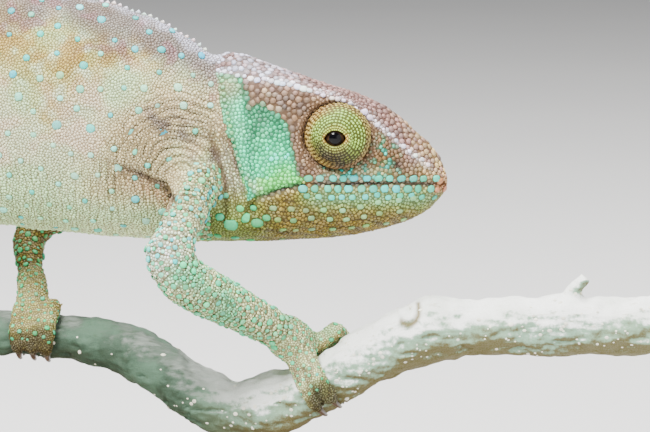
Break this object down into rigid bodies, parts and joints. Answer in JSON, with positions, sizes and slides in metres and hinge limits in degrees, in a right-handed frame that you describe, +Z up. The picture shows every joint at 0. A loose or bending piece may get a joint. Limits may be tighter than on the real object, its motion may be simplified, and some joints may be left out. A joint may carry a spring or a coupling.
{
  "type": "chameleon display model",
  "caption": "Life-size chameleon gripping a cut branch, on a flat display base with two rods; a still model with a coiled tail and turreted eyes.",
  "frame": {"origin": "centre of the stand base's underside", "axes": "+X towards the snout, +Y to the animal's left, +Z up from the underside of the base"},
  "size_m": [0.3403, 0.124, 0.169],
  "materials": {
    "trunk_skin": "granular scales, satin",
    "head_skin": "granular scales, satin",
    "jaw_skin": "granular scales, satin",
    "lobe_skin": "smooth scales, satin",
    "turret_skin": "rings of fine granules, satin",
    "limb_skin": "granular scales, satin",
    "tail_skin": "granular scales, satin",
    "eyeball": "wet gloss",
    "branch_bark": "smooth young bark, matt",
    "stand_wood": "dark stain, satin",
    "stand_steel": "brushed"
  },
  "bodies": {
    "root": {"head": "head_skin", "lower_jaw": "jaw_skin", "right_occipital_lobe": "lobe_skin", "left_occipital_lobe": "lobe_skin", "right_eye_turret": "turret_skin", "left_eye_turret": "turret_skin", "right_eye": "eyeball", "left_eye": "eyeball", "neck": "trunk_skin", "trunk_front": "trunk_skin", "trunk_rear": "trunk_skin", "tail_1": "tail_skin", "tail_2": "tail_skin", "tail_3": "tail_skin", "tail_4": "tail_skin", "tail_5": "tail_skin", "tail_6": "tail_skin", "right_upper_arm": "limb_skin", "right_forearm": "limb_skin", "right_hand": "limb_skin", "left_upper_arm": "limb_skin", "left_forearm": "limb_skin", "left_hand": "limb_skin", "right_thigh": "limb_skin", "right_shin": "limb_skin", "right_foot": "limb_skin", "left_thigh": "limb_skin", "left_shin": "limb_skin", "left_foot": "limb_skin", "perch_branch": "branch_bark", "stand_base": "stand_wood", "stand_rod_front": "stand_steel", "stand_rod_rear": "stand_steel"}
  },
  "joints": []
}
